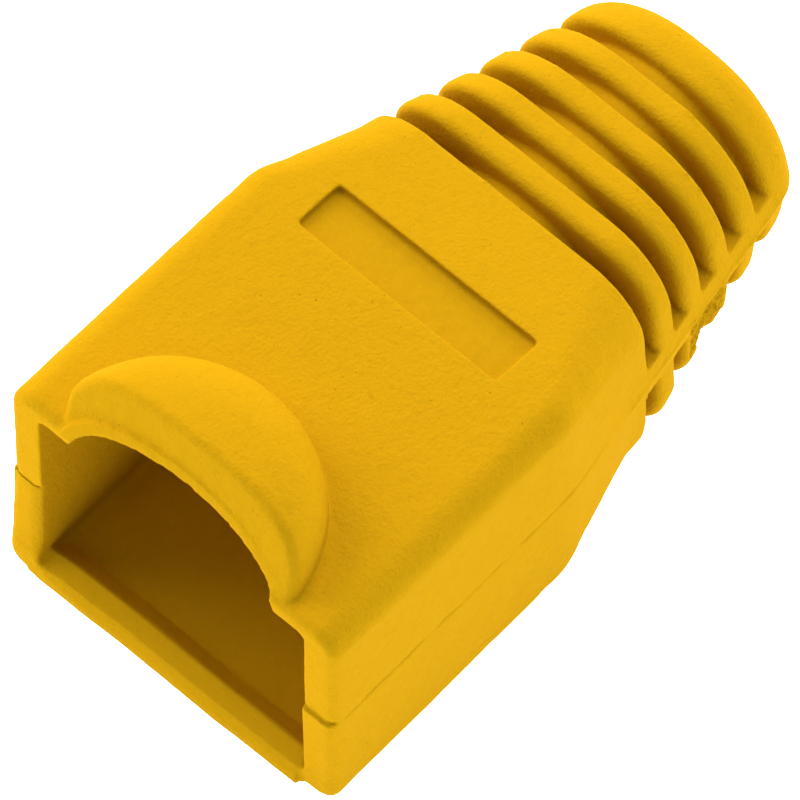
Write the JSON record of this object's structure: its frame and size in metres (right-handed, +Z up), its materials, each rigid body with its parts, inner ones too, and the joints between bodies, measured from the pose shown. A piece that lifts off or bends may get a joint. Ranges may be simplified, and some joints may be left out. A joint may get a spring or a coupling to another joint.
{
  "type": "rj45 strain relief boot",
  "caption": "Soft moulded sleeve that slips over a modular network plug, with a hood over the latch, a recessed label slot and a tapered ribbed tail that the cable passes through.",
  "frame": {"origin": "centre of the bounding box, on the plane that the boot rests on", "axes": "+X from the plug mouth to the cable end, +Z up through the hood, +Y to the left when looking from the mouth along +X"},
  "size_m": [0.0266, 0.0146, 0.0146],
  "materials": {
    "boot_pvc": "yellow-orange soft PVC with a fine matt mould texture"
  },
  "bodies": {
    "root": {"boot": "boot_pvc"}
  },
  "joints": []
}
